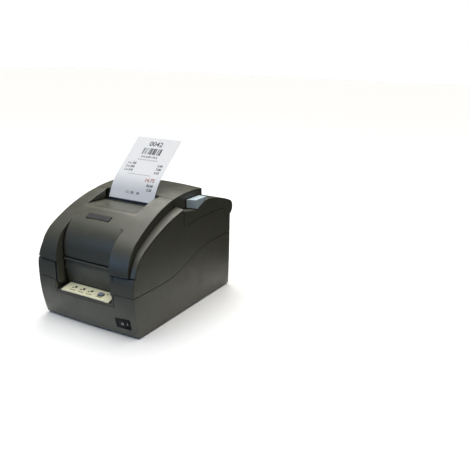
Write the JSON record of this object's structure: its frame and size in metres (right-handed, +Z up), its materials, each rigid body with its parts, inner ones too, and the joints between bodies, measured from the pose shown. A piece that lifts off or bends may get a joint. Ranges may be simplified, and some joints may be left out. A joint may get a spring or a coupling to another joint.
{
  "type": "receipt printer",
  "caption": "Desktop impact receipt printer with hinged front and rear covers, power rocker, feed button, lever and paper roll.",
  "frame": {"origin": "middle of the printer's footprint, on the table under the feet", "axes": "+X to the printer's right as seen from the front, +Y to its back, +Z up"},
  "size_m": [0.16, 0.2409, 0.2266],
  "materials": {
    "case_dark": "matte",
    "cover_dark": "matte",
    "lever_blue": "satin",
    "panel_cream": "satin",
    "button_blue": "satin",
    "lamps": "gloss",
    "switch_black": "gloss",
    "rubber": "matte",
    "steel": "brushed",
    "motor": "satin",
    "inner_black": "matte",
    "head_metal": "satin",
    "board_green": "satin",
    "ports": "satin",
    "paper": "matte",
    "card": "matte"
  },
  "bodies": {
    "case": {"lower_case": "case_dark", "upper_case": "case_dark", "rubber_feet": "rubber", "case_screws": "steel", "mech_frame": "steel", "carriage_shaft": "steel", "guide_rod": "steel", "platen_bar": "steel", "paper_guide": "inner_black", "carriage_motor": "motor", "feed_motor": "motor", "carriage_belt": "rubber", "ribbon_cassette": "inner_black", "ribbon_strip": "inner_black", "main_board": "board_green", "panel_board": "board_green", "roll_bucket": "inner_black", "control_panel": "panel_cream", "status_lamps": "lamps", "switch_bezel": "switch_black", "data_port": "ports", "power_port": "ports", "drawer_port": "ports", "front_hinge_pins": "steel", "rear_hinge_pins": "steel", "latch_posts": "steel", "paper_web": "paper"},
    "front_lid": {"front_cover": "cover_dark", "tear_bar": "steel"},
    "rear_lid": {"rear_cover": "cover_dark", "pinch_bracket": "steel", "receipt": "paper"},
    "pinch": {"pinch_roller": "rubber"},
    "lever": {"open_lever": "lever_blue", "latch_shaft": "steel", "latch_hooks": "steel"},
    "rocker": {"power_rocker": "switch_black"},
    "button": {"feed_button": "button_blue"},
    "head": {"carriage": "inner_black", "print_head": "head_metal"},
    "feed": {"feed_shaft": "steel", "feed_tires": "rubber"},
    "drive": {"drive_pulley": "inner_black"},
    "idler": {"idler_pulley": "inner_black"},
    "roll": {"paper_roll": "paper", "roll_core": "card"},
    "knob": {"ribbon_knob": "inner_black"}
  },
  "joints": [
    {"name": "front_cover_hinge", "type": "hinge", "parent": "case", "child": "front_lid", "pos_m": [0, -0.1125, 0.058], "axis": [1, 0, 0], "range_deg": [0, 85]},
    {"name": "rear_cover_hinge", "type": "hinge", "parent": "case", "child": "rear_lid", "pos_m": [0, 0.1092, 0.124], "axis": [-1, 0, 0], "range_deg": [0, 95]},
    {"name": "cover_lever", "type": "hinge", "parent": "rear_lid", "child": "lever", "pos_m": [0.07, 0.046, 0.1516], "axis": [-1, 0, 0], "range_deg": [0, 18], "stiffness_Nm_per_rad": 0.06, "springref_deg": -11.46},
    {"name": "power_switch", "type": "hinge", "parent": "case", "child": "rocker", "pos_m": [0.0585, -0.11072, 0.02008], "axis": [0, -0.2325, 0.9726], "range_deg": [0, 14]},
    {"name": "feed_press", "type": "slide", "parent": "case", "child": "button", "axis": [0, 0.2062, -0.9785], "range_m": [0, 0.0012], "stiffness_N_per_m": 300, "springref_m": -0.0004},
    {"name": "carriage_slide", "type": "slide", "parent": "case", "child": "head", "axis": [1, 0, 0], "range_m": [-0.03, 0.03]},
    {"name": "drive_turn", "type": "hinge", "parent": "case", "child": "drive", "pos_m": [-0.036, -0.073, 0.086], "axis": [0, 1, 0], "range_deg": [-290, 290]},
    {"name": "idler_turn", "type": "hinge", "parent": "case", "child": "idler", "pos_m": [0.036, -0.073, 0.086], "axis": [0, 1, 0], "range_deg": [-290, 290]},
    {"name": "feed_turn", "type": "hinge", "parent": "case", "child": "feed", "pos_m": [0, -0.0275, 0.126], "axis": [1, 0, 0], "continuous": true},
    {"name": "pinch_turn", "type": "hinge", "parent": "rear_lid", "child": "pinch", "pos_m": [0, -0.0139, 0.126], "axis": [1, 0, 0], "continuous": true},
    {"name": "roll_turn", "type": "hinge", "parent": "case", "child": "roll", "pos_m": [0, 0.055, 0.0783], "axis": [1, 0, 0], "continuous": true},
    {"name": "ribbon_knob_turn", "type": "hinge", "parent": "case", "child": "knob", "pos_m": [-0.028, -0.072, 0.133], "axis": [0, 0, 1], "continuous": true}
  ],
  "couplings": [
    {"joint": "drive_turn", "follows": "carriage_slide", "rad_per_m": 166.67},
    {"joint": "idler_turn", "follows": "carriage_slide", "rad_per_m": 166.67},
    {"joint": "pinch_turn", "follows": "feed_turn", "ratio": -1.0323}
  ]
}
